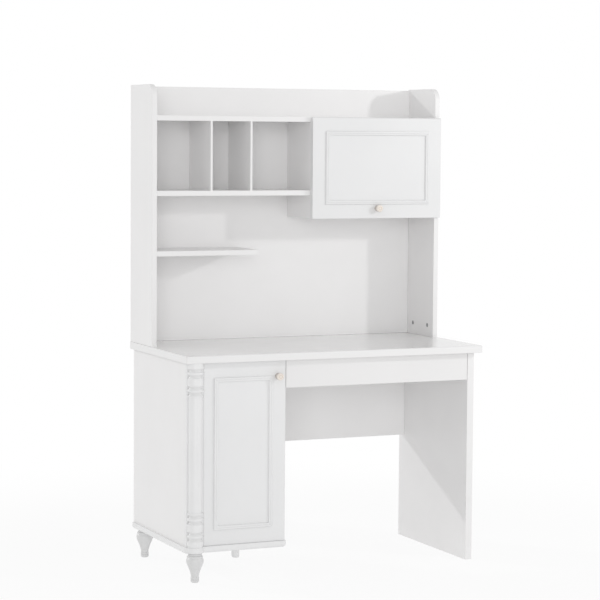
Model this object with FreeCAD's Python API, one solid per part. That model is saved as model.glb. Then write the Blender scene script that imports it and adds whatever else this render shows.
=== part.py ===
"""Student desk with a shelf hutch.

A pedestal with a door and a turned corner post stands on the left, a leg panel on the right.
The hutch on top has open shelves, three pigeonholes and a cabinet with a lift-up flap.
Millimetres, +Z up, the front faces -Y, the origin is on the floor under the middle of the worktop.
"""
import FreeCAD, Part
import math
import os
from FreeCAD import Placement, Rotation, Vector

os.makedirs("parts", exist_ok=True)

# Overall sizes
worktop_width = 1110.0
worktop_depth = 560.0
worktop_height = 760.0
hutch_height = 900.0
hutch_depth = 218.0

# Boards
board = 18.0
worktop_board = 25.0
leg_board = 25.0
base_board = 22.0
hutch_back_board = 12.0
pedestal_back_board = 8.0
divider_board = 8.0

# Edges, gaps and cuts
edge_round = 1.0
worktop_edge_round = 2.0
worktop_corner_round = 10.0
worktop_square_corner_round = 4.0
fit_gap = 0.1
end_gap = 0.5
overrun = 2.0

# Pedestal
pedestal_inset = 14.0
pedestal_width = 355.0
rear_inset = 4.0
front_setback = 30.0
door_back_gap = 2.0
pedestal_back_inset = 2.0
top_rail_height = 38.0
shelf_height_over_floor = 430.0
shelf_end_gap = 1.0
shelf_front_gap = 4.0
shelf_back_gap = 2.0
peg_radius = 2.5
peg_length = 20.0
peg_front_inset = 60.0
peg_rear_inset = 70.0

# Base plate under the pedestal, with a round ear under the post
base_left_overhang = 9.0
base_right_overhang = 5.0
base_front_overhang = 9.0
base_ear_round = 29.0
base_neck_round = 8.0
base_corner_round = 14.0
base_front_corner_round = 20.0
base_top_round = 3.0
base_under_round = 10.0

# Turned corner post on a square backing
post_radius = 27.5
post_shaft_radius = 23.5
post_collar_radius = 25.5
post_groove_radius = 21.5
post_land_radius = 26.5
post_front_gap = 2.0
post_side_inset = 1.0
post_backing_depth = 13.0
post_filler_rise = 2.0
post_cap_height = 18.0
post_swell_height = 20.0
post_groove_height = 12.8
post_ring_height = 7.0
post_drum_height = 25.0
post_collar_height = 5.5
post_drum_bulge = 0.5

# Turned feet and the plain foot
foot_height = 97.0
foot_collar_radius = 23.0
foot_neck_radius = 21.5
foot_ring_radius = 27.0
foot_bulb_radius = 29.0
foot_ankle_radius = 13.2
foot_toe_radius = 14.3
foot_sole_radius = 10.6
foot_collar_height = 4.0
foot_neck_height = 3.0
foot_ring_height = 7.0
foot_toe_height = 18.0
foot_toe_groove_height = 10.5
foot_toe_groove_depth = 1.2
foot_ankle_height = 5.0
foot_sole_round = 4.0
foot_bulb_share = 0.78
foot_calf_share = 0.505
foot_calf_radius_share = 0.506
foot_shin_share = 0.36
foot_shin_radius_share = 0.184
foot_side_gap = 2.0
rear_foot_inset = 55.0
plain_foot_radius = 14.0
plain_foot_round = 7.0
plain_foot_from_right = 40.0
plain_foot_from_front = 341.0
foot_bolt_radius = 4.0
foot_bolt_length = 34.0
foot_bolt_in_base = 7.0

# Leg panel, apron and modesty panel
leg_overhang = 20.0
apron_height = 96.3
apron_end_gap = 1.5
modesty_height = 353.0
modesty_from_rear = 27.0

# Hutch
hutch_inset = 3.0
hutch_corner_round = 43.0
hutch_back_inset = 2.0
hutch_back_drop = 4.0
top_shelf_drop = 106.0
pigeonhole_height = 240.0
first_pigeonhole = 196.5
second_pigeonhole = 141.0
divider_groove = 3.0
low_shelf_length = 376.0
low_shelf_height = 329.0
cabinet_from_right = 511.0
cabinet_height = 340.0

# Door and flap
door_post_gap = 0.6
door_latch_gap = 0.5
door_bottom_gap = 0.4
door_top_gap = 3.0
door_edge_round = 0.5
door_hinge_round = 5.5
door_sweep_gap = 0.6
door_latch_margin = 48.0
door_top_margin = 50.4
door_bottom_margin = 51.8
door_hinge_margin = 38.6
flap_right_inset = 4.0
flap_margin = 50.0
moulding_width = 13.0
moulding_height = 6.0
moulding_round = 2.5

# Knobs
knob_foot_radius = 10.8
knob_foot_height = 2.0
knob_waist_radius = 10.0
knob_radius = 12.3
knob_disc_height = 8.0
knob_length = 25.0
knob_round = 2.5
knob_ring_radius = 5.4
knob_ring_width = 2.0
knob_ring_depth = 1.0
knob_bore_depth = 16.0
door_knob_from_edge = 28.3
door_knob_from_top = 52.4
flap_knob_from_bottom = 35.4
knob_screw_radius = 2.0
knob_screw_head_radius = 4.0
knob_screw_head_height = 1.6

# Concealed pivot hinges
pin_radius = 2.5
running_gap = 0.05
eye_radius = 5.0
eye_gap = 0.3
arm_plate = 3.0
arm_height = 21.0
arm_leaf = 18.0
cup_plate = 1.2
cup_cheek = 3.0
cup_reach = 16.0
cup_side_gap = 0.4
hinge_reach = 9.0
hinge_inset = 85.0
hinge_screw_spacing = 12.0

# Catch, bumpers and brackets
catch_width = 14.0
catch_depth = 34.0
catch_height = 45.0
catch_from_top = 97.0
strike_height = 35.0
bumper_radius = 4.0
bumper_height = 1.6
bumper_inset = 20.0
bracket_leaf = 26.0
bracket_plate = 2.0
bracket_width = 30.0
bracket_hole_share = 0.62
bracket_front_inset = 105.0
bracket_rear_inset = 130.0
apron_bracket_drop = 47.0

# Dowels, screws and cam fittings
dowel_radius = 4.0
dowel_length = 24.0
dowel_front_inset = 50.0
dowel_rear_inset = 60.0
bottom_dowel_front_inset = 110.0
bottom_dowel_rear_inset = 120.0
stile_dowel_inset = 130.0
modesty_dowel_inset = 70.0
hutch_dowel_inset = 45.0
screw_radius = 1.75
screw_head_radius = 3.5
screw_head_height = 1.5
screw_length = 13.0
back_screw_length = 40.0
back_screw_inset = 90.0
catch_screw_spacing = 24.0
cam_radius = 7.5
cam_depth = 12.5
cam_height_over_worktop = 41.0
cam_inset = 45.0
cam_bolt_radius = 3.5
cam_bolt_in_worktop = 12.0
cam_bolt_in_cam = 4.0

# Places worked out from the sizes: the worktop and the desk
X = Vector(1, 0, 0)
Y = Vector(0, 1, 0)
Z = Vector(0, 0, 1)
left_end = -worktop_width / 2
right_end = worktop_width / 2
front_end = -worktop_depth / 2
rear_end = worktop_depth / 2
worktop_under = worktop_height - worktop_board
front_plane = front_end + front_setback
carcass_front = front_plane + board + door_back_gap
carcass_rear = rear_end - rear_inset
base_top = foot_height + base_board
side_left = left_end + pedestal_inset
side_inner = side_left + board
partition_right = side_left + pedestal_width
partition_inner = partition_right - board
leg_outer = right_end - leg_overhang
leg_inner = leg_outer - leg_board
post_x = side_left + post_side_inset + post_radius
post_y = front_end + post_front_gap + post_radius
base_left = side_left - base_left_overhang
bottom_top = base_top + board
pedestal_back_front = carcass_rear - pedestal_back_inset - pedestal_back_board
modesty_rear = rear_end - modesty_from_rear

# Places of the hutch
hutch_left = left_end + hutch_inset
hutch_right = right_end - hutch_inset
hutch_left_inner = hutch_left + board
hutch_right_inner = hutch_right - board
hutch_top = worktop_height + hutch_height
hutch_front = rear_end - hutch_depth
hutch_back_rear = rear_end - hutch_back_inset
hutch_back_front = hutch_back_rear - hutch_back_board
top_shelf_top = hutch_top - top_shelf_drop
top_shelf_under = top_shelf_top - board
middle_shelf_top = top_shelf_under - pigeonhole_height
low_shelf_top = worktop_height + low_shelf_height
cabinet_left = hutch_right - cabinet_from_right
cabinet_under = top_shelf_under - cabinet_height

# Places of the door, the flap and their hinge axes
half_board = board / 2
door_left = post_x + post_radius + door_post_gap
door_right = partition_right - door_latch_gap
door_bottom = base_top + door_bottom_gap
door_top = worktop_under - door_top_gap
flap_right = hutch_right - flap_right_inset
flap_back = hutch_front - door_back_gap
flap_front = flap_back - board
door_axis = Vector(door_left + half_board, front_plane + half_board, 0)
flap_axis = Vector(0, flap_front + half_board, top_shelf_top - half_board)
stile_right = door_axis.x + hinge_reach

pieces = {}
groups = {}
drills = {}


# Basic solids
def box(x0, x1, y0, y1, z0, z1):
    return Part.makeBox(x1 - x0, y1 - y0, z1 - z0, Vector(x0, y0, z0))


def panel(name, x0, x1, y0, y1, z0, z1, square_foot=False):
    """A board with softened edges. One with a square foot keeps its lower edges sharp."""
    shape = box(x0, x1, y0, y1, z0, z1)
    edges = [e for e in shape.Edges if not square_foot or e.BoundBox.ZMax > z0 + fit_gap]
    pieces[name] = shape.makeFillet(edge_round, edges)


def rod(point, axis, radius, length):
    """A cylinder with its middle at the point."""
    return Part.makeCylinder(radius, length, point - axis * (length / 2), axis)


def plate(points, direction):
    """A flat outline of corner points, drawn out along the direction."""
    return Part.Face(Part.makePolygon(points + points[:1])).extrude(direction)


def turned(edges):
    """A body of revolution about Z from the edges of its outline, which starts and ends on the axis."""
    return Part.Face(Part.Wire(edges)).revolve(Vector(), Z, 360)


def line(a, b):
    return Part.LineSegment(a, b).toShape()


def arc(a, b, c):
    return Part.Arc(a, b, c).toShape()


def at_radius(radius, height):
    return Vector(radius, 0, height)


def drill(names, hole):
    for name in names:
        drills.setdefault(name, []).append(hole)


# Fasteners
def dowel(group, first, second, point, axis):
    groups.setdefault(group, []).append(rod(point, axis, dowel_radius, dowel_length))
    drill((first, second), rod(point, axis, dowel_radius + fit_gap, dowel_length + 2 * end_gap))


def screw(group, point, direction, names, length=screw_length):
    """A pan-head screw whose head rests on the point and whose shank runs along the direction."""
    head_top = point - direction * screw_head_height
    head = Part.makeCylinder(screw_head_radius, screw_head_height, head_top, direction)
    shank = Part.makeCylinder(screw_radius, length, point, direction)
    groups.setdefault(group, []).append(head.fuse(shank).removeSplitter())
    drill(names, Part.makeCylinder(screw_radius + fit_gap, length + end_gap, point, direction))


def angle_bracket(corner, first, second, first_piece, second_piece):
    """An angle plate in an inner corner: one leaf lies along the first direction, one along the second."""
    along = first.cross(second)
    start = corner - along * (bracket_width / 2)
    leaf_first = first * bracket_leaf
    leaf_second = second * bracket_leaf
    thick_first = first * bracket_plate
    thick_second = second * bracket_plate
    outline = [start, start + leaf_first, start + leaf_first + thick_second]
    outline += [start + thick_first + thick_second, start + thick_first + leaf_second, start + leaf_second]
    groups.setdefault("angle_brackets", []).append(plate(outline, along * bracket_width))
    hole_first = corner + leaf_first * bracket_hole_share + thick_second
    hole_second = corner + leaf_second * bracket_hole_share + thick_first
    screw("bracket_screws", hole_first, second * -1, ("angle_brackets", first_piece))
    screw("bracket_screws", hole_second, first * -1, ("angle_brackets", second_piece))


# Desk boards
def make_worktop():
    shape = box(left_end, right_end, front_end, rear_end, worktop_under, worktop_height)
    corner_rounds = (
        (left_end, front_end, worktop_square_corner_round),
        (right_end, front_end, worktop_corner_round),
        (right_end, rear_end, worktop_square_corner_round),
        (left_end, rear_end, worktop_square_corner_round),
    )
    for across, depth, radius in corner_rounds:
        corner = Vector(across, depth, (worktop_under + worktop_height) / 2)
        upright = [e for e in shape.Edges if (e.CenterOfMass - corner).Length < fit_gap]
        shape = shape.makeFillet(radius, upright)
    rims = [e for e in shape.Edges if e.BoundBox.ZLength < fit_gap]
    pieces["worktop"] = shape.makeFillet(worktop_edge_round, rims)


def make_pedestal():
    panel("pedestal_left_side", side_left, side_inner, carcass_front, carcass_rear,
          base_top, worktop_under, square_foot=True)
    panel("pedestal_partition", partition_inner, partition_right, carcass_front, carcass_rear,
          base_top, worktop_under, square_foot=True)
    panel("pedestal_bottom", side_inner, partition_inner, carcass_front, carcass_rear, base_top, bottom_top)
    panel("pedestal_back", side_inner, partition_inner, pedestal_back_front,
          pedestal_back_front + pedestal_back_board, bottom_top, worktop_under)
    stile_back = carcass_front + board
    panel("pedestal_front_stile", side_inner, stile_right, carcass_front, stile_back,
          bottom_top, worktop_under)
    panel("pedestal_top_rail", stile_right, partition_inner, carcass_front, stile_back,
          worktop_under - top_rail_height, worktop_under)
    shelf_under = shelf_height_over_floor - board
    panel("pedestal_shelf", side_inner + shelf_end_gap, partition_inner - shelf_end_gap,
          stile_back + shelf_front_gap, pedestal_back_front - shelf_back_gap,
          shelf_under, shelf_height_over_floor)
    pegs = groups.setdefault("shelf_pegs", [])
    for name, face in (("pedestal_left_side", side_inner), ("pedestal_partition", partition_inner)):
        for depth in (carcass_front + peg_front_inset, carcass_rear - peg_rear_inset):
            point = Vector(face, depth, shelf_under - peg_radius)
            pegs.append(rod(point, X, peg_radius, peg_length))
            drill((name,), rod(point, X, peg_radius + fit_gap, peg_length + 2 * end_gap))


def make_base_plate():
    """The plate under the pedestal: a rounded rectangle joined to a round ear under the post."""
    base_right = partition_right + base_right_overhang
    base_front = front_plane - base_front_overhang
    ear = Vector(post_x, post_y, foot_height)
    body = box(base_left, base_right, base_front, carcass_rear, foot_height, base_top)
    corners = [e for e in body.Edges if abs(e.BoundBox.ZLength - base_board) < fit_gap]
    under_post = [e for e in corners if e.CenterOfMass.x < ear.x and e.CenterOfMass.y < ear.y]
    body = body.makeFillet(base_front_corner_round, under_post)
    corners = [e for e in body.Edges if abs(e.BoundBox.ZLength - base_board) < fit_gap]
    corners = [e for e in corners if e.CenterOfMass.x > ear.x or e.CenterOfMass.y > 0]
    body = body.makeFillet(base_corner_round, corners)
    disc = Part.makeCylinder(base_ear_round, base_board, ear, Z)
    body = body.fuse(disc).removeSplitter()
    middle = ear + Z * (base_board / 2)
    necks = [e for e in body.Edges if abs(e.BoundBox.ZLength - base_board) < fit_gap]
    necks = [e for e in necks if abs((e.CenterOfMass - middle).Length - base_ear_round) < fit_gap]
    body = body.makeFillet(base_neck_round, necks)
    for height, radius in ((base_top, base_top_round), (foot_height, base_under_round)):
        rims = [e for e in body.Edges if e.BoundBox.ZLength < fit_gap]
        body = body.makeFillet(radius, [e for e in rims if abs(e.CenterOfMass.z - height) < fit_gap])
    pieces["base_plate"] = body


def make_leg_and_rails():
    panel("leg_panel", leg_inner, leg_outer, front_plane, carcass_rear, 0, worktop_under)
    panel("apron_rail", partition_right + apron_end_gap, leg_inner - apron_end_gap, front_plane,
          front_plane + board, worktop_under - apron_height, worktop_under)
    panel("modesty_panel", partition_right, leg_inner, modesty_rear - board, modesty_rear,
          worktop_under - modesty_height, worktop_under)


# Turned pieces
def groove(edges, height):
    """A hollow ring under the last point of the outline."""
    top = edges[-1].Vertexes[-1].Point.z
    start = at_radius(post_land_radius, top)
    middle = at_radius(post_groove_radius, top - height / 2)
    end = at_radius(post_land_radius, top - height)
    if (edges[-1].Vertexes[-1].Point - start).Length > fit_gap:
        edges.append(line(edges[-1].Vertexes[-1].Point, start))
    edges.append(arc(start, middle, end))


def swelling(edges, height, radius):
    """A raised ring under the last point of the outline."""
    start = edges[-1].Vertexes[-1].Point
    middle = at_radius(radius, start.z - height / 2)
    edges.append(arc(start, middle, at_radius(start.x, start.z - height)))


def cluster(edges):
    """Groove, ring, groove, drum, groove, ring, groove: the same at both ends of the post."""
    groove(edges, post_groove_height)
    swelling(edges, post_ring_height, post_radius)
    groove(edges, post_groove_height)
    swelling(edges, post_drum_height, post_land_radius + post_drum_bulge)
    groove(edges, post_groove_height)
    swelling(edges, post_ring_height, post_radius)
    groove(edges, post_groove_height)


def step_to(edges, radius, height):
    """A straight line from the last point of the outline to a radius and height."""
    edges.append(line(edges[-1].Vertexes[-1].Point, at_radius(radius, height)))


def post_bore(x, y, radius):
    """A round space that runs past both ends of the post."""
    return rod(Vector(x, y, (base_top + worktop_under) / 2), Z, radius, worktop_under)


def post_backing():
    """The block behind the shaft, with a rounded outer corner."""
    front = carcass_front - post_backing_depth
    block = box(side_left, post_x, front, carcass_front, base_top, worktop_under)
    middle = Vector(side_left, front, (base_top + worktop_under) / 2)
    corner = [e for e in block.Edges if (e.CenterOfMass - middle).Length < fit_gap]
    return block.makeFillet(edge_round, corner)


def post_filler():
    """The block between the shaft and the door, a little proud of it and hollowed for its swing."""
    right = door_left - door_post_gap
    block = box(post_x, right, front_plane - post_filler_rise, carcass_front, base_top, worktop_under)
    sweep_radius = (half_board - door_hinge_round) * math.sqrt(2) + door_hinge_round + door_sweep_gap
    beside = box(door_axis.x - sweep_radius, right + overrun, door_axis.y, carcass_front + overrun,
                 base_top - overrun, worktop_under + overrun)
    return block.cut([post_bore(door_axis.x, door_axis.y, sweep_radius), beside])


def make_corner_post():
    cap_under = worktop_under - post_cap_height
    edges = [line(at_radius(0, worktop_under), at_radius(post_radius, worktop_under))]
    step_to(edges, post_radius, cap_under)
    cluster(edges)
    collar_under = edges[-1].Vertexes[-1].Point.z - post_collar_height
    step_to(edges, post_collar_radius, collar_under)
    step_to(edges, post_shaft_radius, collar_under)
    cluster_height = 4 * post_groove_height + 2 * post_ring_height + post_drum_height
    end_top = base_top + post_swell_height
    low_collar_top = end_top + cluster_height + post_collar_height
    step_to(edges, post_shaft_radius, low_collar_top)
    step_to(edges, post_land_radius, low_collar_top)
    step_to(edges, post_land_radius, end_top + cluster_height)
    cluster(edges)
    swelling_top = edges[-1].Vertexes[-1].Point
    edges.append(arc(swelling_top, at_radius(post_radius, (end_top + base_top) / 2),
                     at_radius(post_collar_radius, base_top)))
    step_to(edges, 0, base_top)
    edges.append(line(edges[-1].Vertexes[-1].Point, at_radius(0, worktop_under)))
    shaft = turned(edges)
    shaft.translate(Vector(post_x, post_y, 0))
    behind = box(post_x - post_radius - overrun, post_x + post_radius + overrun, carcass_front,
                 carcass_front + 2 * post_radius, base_top - overrun, worktop_under + overrun)
    pieces["corner_post"] = shaft.cut(behind).fuse([post_backing(), post_filler()]).removeSplitter()


def turned_foot():
    """A bulb foot: collar, neck, ring, bulb, tapering shin, ankle and a grooved toe."""
    collar_under = foot_height - foot_collar_height
    neck_under = collar_under - foot_neck_height
    ring_under = neck_under - foot_ring_height
    ankle_top = foot_toe_height + foot_ankle_height
    swell = foot_bulb_radius - foot_ankle_radius
    calf_radius = foot_ankle_radius + swell * foot_calf_radius_share
    shin_radius = foot_ankle_radius + swell * foot_shin_radius_share
    edges = [line(at_radius(0, foot_height), at_radius(foot_collar_radius, foot_height))]
    step_to(edges, foot_collar_radius, collar_under)
    step_to(edges, foot_neck_radius, collar_under)
    step_to(edges, foot_neck_radius, neck_under)
    ring_start = edges[-1].Vertexes[-1].Point
    edges.append(arc(ring_start, at_radius(foot_ring_radius, neck_under - foot_ring_height / 2),
                     at_radius(foot_ring_radius - edge_round, ring_under)))
    curve = Part.BSplineCurve()
    points = [edges[-1].Vertexes[-1].Point, at_radius(foot_bulb_radius, foot_height * foot_bulb_share)]
    points.append(at_radius(calf_radius, foot_height * foot_calf_share))
    points.append(at_radius(shin_radius, foot_height * foot_shin_share))
    points.append(at_radius(foot_ankle_radius, ankle_top))
    curve.interpolate(points)
    edges.append(curve.toShape())
    step_to(edges, foot_ankle_radius, foot_toe_height)
    step_to(edges, foot_toe_radius, foot_toe_height - edge_round)
    step_to(edges, foot_toe_radius, foot_toe_groove_height + foot_toe_groove_depth)
    step_to(edges, foot_toe_radius - foot_toe_groove_depth, foot_toe_groove_height)
    step_to(edges, foot_toe_radius, foot_toe_groove_height - foot_toe_groove_depth)
    step_to(edges, foot_toe_radius, foot_sole_round)
    step_to(edges, foot_sole_radius, 0)
    step_to(edges, 0, 0)
    edges.append(line(at_radius(0, 0), at_radius(0, foot_height)))
    return turned(edges)


def plain_foot():
    shape = Part.makeCylinder(plain_foot_radius, foot_height)
    rim = [e for e in shape.Edges if abs(e.CenterOfMass.z) < fit_gap and e.Closed]
    return shape.makeFillet(plain_foot_round, rim)


def make_feet():
    plain_x = partition_right - plain_foot_from_right
    rear_x = base_left + foot_side_gap + foot_bulb_radius
    places = {
        "front_foot": Vector(post_x, post_y, 0),
        "rear_foot": Vector(rear_x, carcass_rear - rear_foot_inset, 0),
        "plain_foot": Vector(plain_x, front_plane + plain_foot_from_front, 0),
    }
    for name, place in places.items():
        shape = plain_foot() if name == "plain_foot" else turned_foot()
        shape.translate(place)
        pieces[name] = shape
        point = place + Z * (foot_height + foot_bolt_in_base - foot_bolt_length / 2)
        groups.setdefault("foot_bolts", []).append(rod(point, Z, foot_bolt_radius, foot_bolt_length))
        hole = rod(point, Z, foot_bolt_radius + fit_gap, foot_bolt_length + 2 * end_gap)
        drill((name, "base_plate"), hole)


# Hutch boards
def hutch_side(name, x0, x1):
    """An upright with a quarter-round top front corner."""
    corner = hutch_top - hutch_corner_round
    centre = Vector(x0, hutch_front + hutch_corner_round, corner)
    bow = Vector(0, -1, 1).normalize() * hutch_corner_round
    points = [Vector(x0, hutch_front, worktop_height), Vector(x0, hutch_front, corner), centre + bow]
    points += [Vector(x0, centre.y, hutch_top), Vector(x0, rear_end, hutch_top)]
    points.append(Vector(x0, rear_end, worktop_height))
    edges = [line(points[0], points[1]), arc(points[1], points[2], points[3]), line(points[3], points[4])]
    edges += [line(points[4], points[5]), line(points[5], points[0])]
    shape = Part.Face(Part.Wire(edges)).extrude(X * (x1 - x0))
    rims = [e for e in shape.Edges if e.BoundBox.XLength < fit_gap]
    pieces[name] = shape.makeFillet(edge_round, rims)


def make_hutch():
    hutch_side("hutch_left_side", hutch_left, hutch_left_inner)
    hutch_side("hutch_right_side", hutch_right_inner, hutch_right)
    panel("hutch_back_panel", hutch_left_inner, hutch_right_inner, hutch_back_front, hutch_back_rear,
          worktop_height, hutch_top - hutch_back_drop)
    panel("top_shelf", hutch_left_inner, hutch_right_inner, hutch_front, hutch_back_front,
          top_shelf_under, top_shelf_top)
    panel("middle_shelf", hutch_left_inner, cabinet_left, hutch_front, hutch_back_front,
          middle_shelf_top - board, middle_shelf_top)
    panel("low_shelf", hutch_left_inner, hutch_left_inner + low_shelf_length, hutch_front, hutch_back_front,
          low_shelf_top - board, low_shelf_top)
    panel("cabinet_partition", cabinet_left, cabinet_left + board, hutch_front, hutch_back_front,
          cabinet_under, top_shelf_under)
    panel("cabinet_bottom", cabinet_left + board, hutch_right_inner, hutch_front, hutch_back_front,
          cabinet_under, cabinet_under + board)
    first = hutch_left_inner + first_pigeonhole
    second = first + divider_board + second_pigeonhole
    for name, left in (("left_divider", first), ("right_divider", second)):
        panel(name, left, left + divider_board, hutch_front, hutch_back_front,
              middle_shelf_top - divider_groove, top_shelf_under + divider_groove)
        drill(("top_shelf", "middle_shelf"), pieces[name])


# Door, flap, mouldings and knobs
def front_panel(name, shape, across, hinge_edge):
    """A door leaf: soft front edges, and a hinge edge rounded to clear what stands beside it."""
    back = shape.BoundBox.YMax
    front = back - board
    for depth, radius in ((back, half_board), (front, door_hinge_round)):
        hinge = [e for e in shape.Edges if abs(e.CenterOfMass.dot(across) - hinge_edge) < fit_gap]
        shape = shape.makeFillet(radius, [e for e in hinge if abs(e.CenterOfMass.y - depth) < fit_gap])
    fronts = [e for e in shape.Edges if abs(e.BoundBox.YMax - front) < fit_gap]
    reach = door_hinge_round + fit_gap
    fronts = [e for e in fronts if abs(e.CenterOfMass.dot(across) - hinge_edge) > reach]
    pieces[name] = shape.makeFillet(door_edge_round, fronts)


def moulding(name, x0, x1, z0, z1, face):
    """Four mitred strips around a rectangle on a door's front face."""
    centre = Vector((x0 + x1) / 2, face, (z0 + z1) / 2)
    corners = [Vector(x0, face, z0), Vector(x1, face, z0), Vector(x1, face, z1), Vector(x0, face, z1)]
    strips = []
    for index, start in enumerate(corners):
        end = corners[(index + 1) % len(corners)]
        inward = Vector(0, -1, 0).cross(end - start).normalize()
        if inward.dot(centre - start) < 0:
            inward = inward * -1
        strips.append(moulding_strip(start, end, inward))
    groups[name] = strips


def moulding_strip(start, end, inward):
    """One strip with a rounded top, cut to a mitre at both ends."""
    run = (end - start).normalize()
    out = Vector(0, -1, 0)
    width = inward * moulding_width
    high = out * (moulding_height - moulding_round)
    crown = out * moulding_height
    points = [start, start + high, start + width / 2 + crown, start + width + high, start + width]
    section = [line(points[0], points[1]), arc(points[1], points[2], points[3])]
    section += [line(points[3], points[4]), line(points[4], points[0])]
    bar = Part.Face(Part.Wire(section)).extrude(end - start)
    for tip, back in ((start, run * -1), (end, run)):
        inner = tip + width
        wedge = [tip, tip + back * overrun, inner + back * overrun, inner - back * moulding_width]
        wedge = [corner - out * overrun for corner in wedge]
        bar = bar.cut(plate(wedge, out * (moulding_height + 2 * overrun)))
    return bar


def make_knob(name, place):
    """A round knob with a ring on its face, its foot on the place, pointing to the front."""
    disc_back = knob_length - knob_disc_height
    ring_inner = knob_ring_radius - knob_ring_width / 2
    ring_outer = knob_ring_radius + knob_ring_width / 2
    waist = at_radius(knob_waist_radius, (knob_foot_height + disc_back) / 2)
    edges = [line(at_radius(0, 0), at_radius(knob_foot_radius, 0))]
    step_to(edges, knob_foot_radius, knob_foot_height)
    waist_start = edges[-1].Vertexes[-1].Point
    edges.append(arc(waist_start, waist, at_radius(knob_radius - edge_round, disc_back)))
    step_to(edges, knob_radius, disc_back + edge_round)
    step_to(edges, knob_radius, knob_length - knob_round)
    step_to(edges, knob_radius - knob_round, knob_length)
    step_to(edges, ring_outer, knob_length)
    ring_bottom = at_radius(knob_ring_radius, knob_length - knob_ring_depth)
    edges.append(arc(at_radius(ring_outer, knob_length), ring_bottom, at_radius(ring_inner, knob_length)))
    step_to(edges, 0, knob_length)
    edges.append(line(at_radius(0, knob_length), at_radius(0, 0)))
    shape = turned(edges)
    shape.Placement = Placement(place, Rotation(X, 90))
    pieces[name] = shape


def knob_screw(name, panel_name, knob_name, place):
    """The screw through the door from behind, with its head on the door's back."""
    back = place + Y * board
    length = board + knob_bore_depth - overrun
    head = Part.makeCylinder(knob_screw_head_radius, knob_screw_head_height, back, Y)
    shank = Part.makeCylinder(knob_screw_radius, length, back, Y * -1)
    pieces[name] = head.fuse(shank).removeSplitter()
    bore = Part.makeCylinder(knob_screw_radius + fit_gap, board + knob_bore_depth, back, Y * -1)
    drill((panel_name, knob_name), bore)


def bumper(group, point):
    groups.setdefault(group, []).append(Part.makeCylinder(bumper_radius, bumper_height, point, Y))


def make_door():
    leaf = box(door_left, door_right, front_plane, front_plane + board, door_bottom, door_top)
    front_panel("door_panel", leaf, X, door_left)
    moulding("door_moulding", door_left + door_hinge_margin, door_right - door_latch_margin,
             door_bottom + door_bottom_margin, door_top - door_top_margin, front_plane)
    place = Vector(door_right - door_knob_from_edge, front_plane, door_top - door_knob_from_top)
    make_knob("door_knob", place)
    knob_screw("door_knob_screw", "door_panel", "door_knob", place)
    back = front_plane + board
    stop_x = partition_inner + half_board
    for height in (door_bottom + bumper_inset, door_top - bumper_inset):
        bumper("door_bumpers", Vector(stop_x, back, height))
    catch_top = worktop_under - catch_from_top
    catch_left = partition_inner - catch_width
    panel("magnetic_catch", catch_left, partition_inner, carcass_front, carcass_front + catch_depth,
          catch_top - catch_height, catch_top)
    middle = catch_top - catch_height / 2
    pieces["catch_strike"] = box(catch_left, partition_inner, back, back + bumper_height,
                                 middle - strike_height / 2, middle + strike_height / 2)
    for side in (-1, 1):
        point = Vector(catch_left, carcass_front + catch_depth / 2, middle + side * catch_screw_spacing / 2)
        held = ("magnetic_catch", "pedestal_partition")
        screw("catch_screws", point, X, held, catch_width + screw_length)


def make_flap():
    leaf = box(cabinet_left, flap_right, flap_front, flap_back, cabinet_under, top_shelf_top)
    front_panel("flap_panel", leaf, Z, top_shelf_top)
    moulding("flap_moulding", cabinet_left + flap_margin, flap_right - flap_margin,
             cabinet_under + flap_margin, top_shelf_top - flap_margin, flap_front)
    place = Vector((cabinet_left + flap_right) / 2, flap_front, cabinet_under + flap_knob_from_bottom)
    make_knob("flap_knob", place)
    knob_screw("flap_knob_screw", "flap_panel", "flap_knob", place)
    for stop_x in (cabinet_left + half_board, hutch_right - half_board):
        bumper("flap_bumpers", Vector(stop_x, flap_back, cabinet_under + half_board + bumper_inset))


# Concealed pivot hinges, drawn with the pin on Z, the door along +X and its back towards +Y
def hinge_arm():
    half = arm_height / 2
    leaf_end = half_board + door_back_gap + arm_leaf
    web_half = arm_plate / 2
    web = box(0, hinge_reach + arm_plate, -web_half, web_half, -half, half)
    leaf = box(hinge_reach, hinge_reach + arm_plate, -web_half, leaf_end, -half, half)
    eye = rod(Vector(), Z, eye_radius, arm_height)
    bore = rod(Vector(), Z, pin_radius + running_gap, arm_height + overrun)
    return web.fuse([leaf, eye]).cut(bore).removeSplitter()


def hinge_cup_space():
    half = arm_height / 2 + cup_side_gap + cup_cheek
    front = eye_radius + eye_gap + cup_plate
    return box(-eye_radius - eye_gap, cup_reach, -front, half_board, -half, half)


def hinge_cup():
    """Two cheeks on a front plate, which hold the ends of the pin."""
    half = arm_height / 2 + cup_side_gap
    inner = box(-eye_radius - eye_gap - overrun, cup_reach + overrun, -eye_radius - eye_gap,
                half_board + overrun, -half, half)
    bore = rod(Vector(), Z, pin_radius + running_gap, 2 * (half + cup_cheek + overrun))
    return hinge_cup_space().cut(inner).cut(bore)


def hinge_pin():
    return rod(Vector(), Z, pin_radius, arm_height + 2 * (cup_side_gap + cup_cheek))


def placed(shape, placement):
    copy = shape.copy()
    copy.Placement = placement.multiply(copy.Placement)
    return copy


def make_hinges(name, leaf, carrier, placements):
    for placement in placements:
        groups.setdefault(name + "_hinge_arms", []).append(placed(hinge_arm(), placement))
        groups.setdefault(name + "_hinge_cups", []).append(placed(hinge_cup(), placement))
        groups.setdefault(name + "_hinge_pins", []).append(placed(hinge_pin(), placement))
        drill((leaf,), placed(hinge_cup_space(), placement))
        depth = half_board + door_back_gap + half_board
        for side in (-1, 1):
            local = Vector(hinge_reach + arm_plate, depth, side * hinge_screw_spacing / 2)
            point = placement.multVec(local)
            direction = placement.Rotation.multVec(X * -1)
            screw("hinge_screws", point, direction, (name + "_hinge_arms", carrier))


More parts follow.
